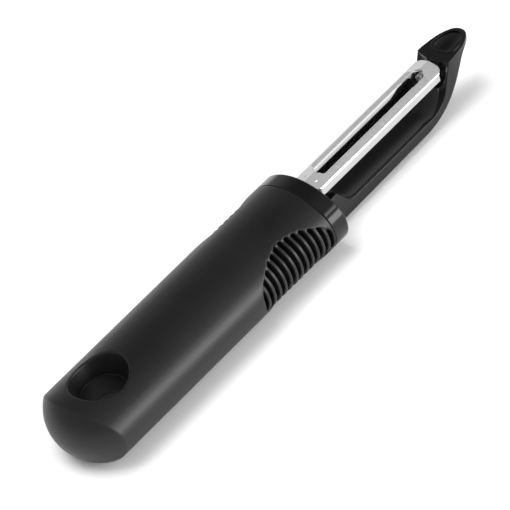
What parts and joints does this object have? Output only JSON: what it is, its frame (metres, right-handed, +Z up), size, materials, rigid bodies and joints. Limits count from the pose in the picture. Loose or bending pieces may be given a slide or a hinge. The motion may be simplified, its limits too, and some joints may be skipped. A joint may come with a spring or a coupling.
{
  "type": "vegetable peeler",
  "caption": "Swivel vegetable peeler with a soft oval grip, finned finger pads, hanging hole, bow-shaped guard frame, scoop tip and slotted steel blade",
  "frame": {"origin": "bottom centre of the whole tool, on the belly of the grip", "axes": "+X from the rear of the grip to the scoop tip, +Z up on the side the blade faces, +Y to the left when looking along +X"},
  "size_m": [0.185, 0.0324, 0.0218],
  "materials": {
    "soft_grip": "soft matte",
    "grip_core": "satin",
    "collar": "semi-gloss",
    "guard_frame": "semi-gloss",
    "blade": "polished with ground edges",
    "rear_pivot_pin": "satin",
    "front_pivot_pin": "satin"
  },
  "bodies": {
    "handle": {"soft_grip": "soft_grip", "grip_core": "grip_core", "collar": "collar", "guard_frame": "guard_frame", "rear_pivot_pin": "rear_pivot_pin", "front_pivot_pin": "front_pivot_pin"},
    "swivel_blade": {"blade": "blade"}
  },
  "joints": [
    {"name": "blade_swivel", "type": "hinge", "parent": "handle", "child": "swivel_blade", "pos_m": [0.0473, 0, 0.0155], "axis": [1, 0, 0], "range_deg": [-25, 25]}
  ]
}
